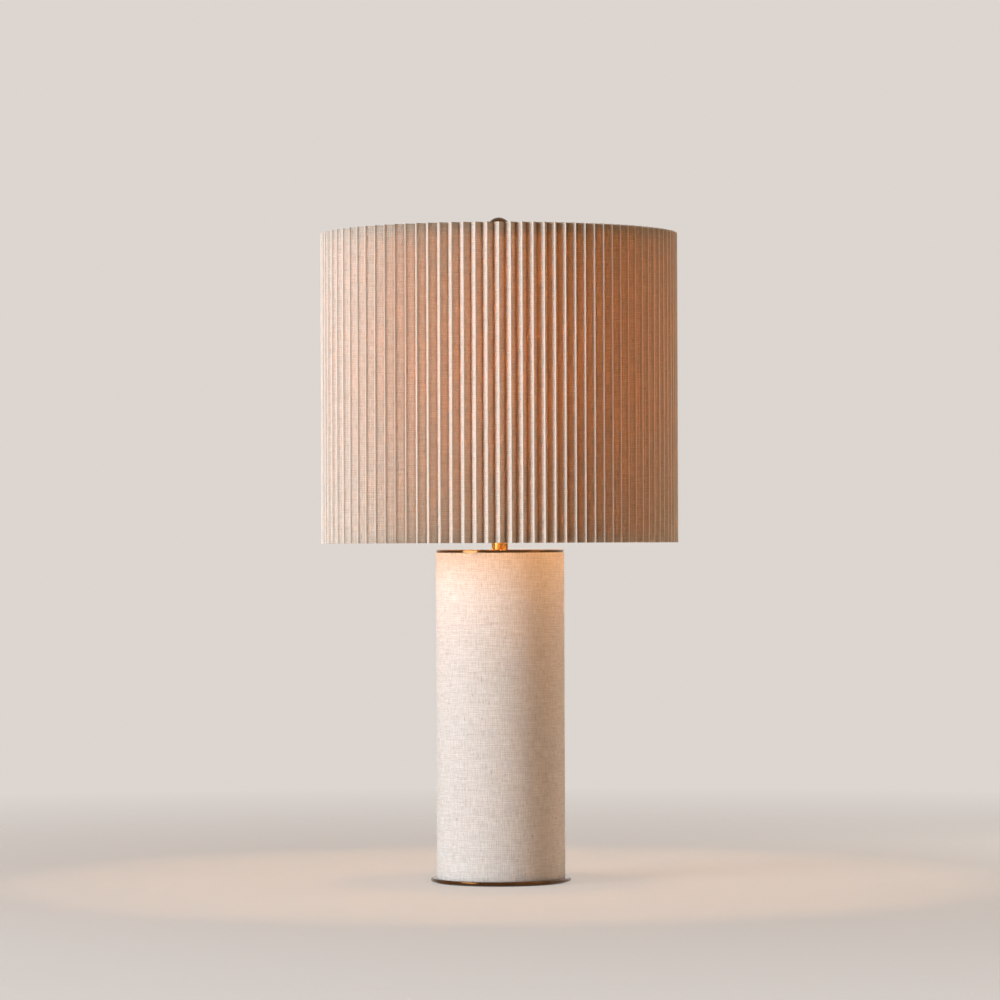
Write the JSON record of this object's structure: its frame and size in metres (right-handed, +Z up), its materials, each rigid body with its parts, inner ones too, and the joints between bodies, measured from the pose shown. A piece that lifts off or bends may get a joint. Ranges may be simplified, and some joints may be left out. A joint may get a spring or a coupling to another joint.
{
  "type": "fabric table lamp",
  "caption": "Table lamp with a linen-wrapped cylindrical column on a round metal foot and an accordion-pleated linen drum shade hung on a harp, lit by a screw-in bulb.",
  "frame": {"origin": "centre of the felt pad's underside, on the table", "axes": "+Z up along the lamp's axis, -Y to the front where the switch is, +Y to the cord outlet"},
  "size_m": [0.3554, 0.3556, 0.662],
  "materials": {
    "dark_felt": "matt",
    "antique_bronze": "satin antique bronze",
    "steel": "zinc plated",
    "iron": "raw casting",
    "core_board": "raw board",
    "column_linen": "woven",
    "grommet_rubber": "matt",
    "polished_brass": "polished",
    "harp_brass": "satin",
    "socket_brass": "satin",
    "fibre_paper": "matt",
    "phenolic": "matt",
    "bright_aluminium": "bright",
    "knob_plastic": "smooth",
    "opal_glass": "opal",
    "white_plastic": "smooth",
    "black_insulator": "glazed",
    "shade_linen": "pleated, backed",
    "edge_tape": "woven tape",
    "frame_wire": "brass coloured lacquer"
  },
  "bodies": {
    "base": {"felt_pad": "dark_felt", "foot_plate": "antique_bronze", "foot_screws": "steel", "base_weight": "iron", "pipe_washer": "steel", "pipe_nut": "steel", "lamp_pipe": "steel", "core_tube": "core_board", "linen_sleeve": "column_linen", "cord_grommet": "grommet_rubber", "top_cap": "antique_bronze", "neck_tube": "polished_brass", "harp_saddle": "harp_brass", "saddle_nut": "steel", "harp_leg_left": "harp_brass", "harp_leg_right": "harp_brass", "harp_crown": "harp_brass", "socket_cap": "socket_brass", "socket_shell": "socket_brass", "socket_liner": "fibre_paper", "socket_core": "phenolic", "socket_screw_shell": "bright_aluminium", "socket_contact": "socket_brass", "terminal_screws": "socket_brass"},
    "switch": {"switch_stem": "steel", "switch_knob": "knob_plastic"},
    "bulb": {"bulb_globe": "opal_glass", "bulb_collar": "white_plastic", "bulb_screw_base": "bright_aluminium", "bulb_insulator": "black_insulator", "bulb_contact": "bright_aluminium"},
    "ferrule_left": {"harp_ferrule_left": "harp_brass"},
    "ferrule_right": {"harp_ferrule_right": "harp_brass"},
    "stud": {"swivel_stud": "harp_brass"},
    "shade": {"shade_cloth": "shade_linen", "shade_top_tape": "edge_tape", "shade_bottom_tape": "edge_tape", "shade_top_ring": "frame_wire", "shade_bottom_ring": "frame_wire", "spider_arms": "frame_wire", "spider_hub": "frame_wire"},
    "finial": {"finial_knob": "antique_bronze", "finial_insert": "socket_brass"}
  },
  "joints": [
    {"name": "shade_turn", "type": "hinge", "parent": "base", "child": "stud", "pos_m": [0, 0, 0.633], "axis": [0, 0, 1], "continuous": true},
    {"name": "shade_lift", "type": "slide", "parent": "stud", "child": "shade", "axis": [0, 0, 1], "range_m": [0, 0.34]},
    {"name": "finial_turn", "type": "hinge", "parent": "shade", "child": "finial", "pos_m": [0, 0, 0.648], "axis": [0, 0, 1], "range_deg": [0, 4680]},
    {"name": "bulb_turn", "type": "hinge", "parent": "base", "child": "bulb", "pos_m": [0, 0, 0.43], "axis": [0, 0, 1], "range_deg": [0, 1800]},
    {"name": "switch_turn", "type": "hinge", "parent": "base", "child": "switch", "pos_m": [0, -0.025, 0.4062], "axis": [0, -1, 0], "continuous": true},
    {"name": "ferrule_left_slide", "type": "slide", "parent": "base", "child": "ferrule_left", "axis": [0, 0, 1], "range_m": [0, 0.012]},
    {"name": "ferrule_right_slide", "type": "slide", "parent": "base", "child": "ferrule_right", "axis": [0, 0, 1], "range_m": [0, 0.012]}
  ]
}
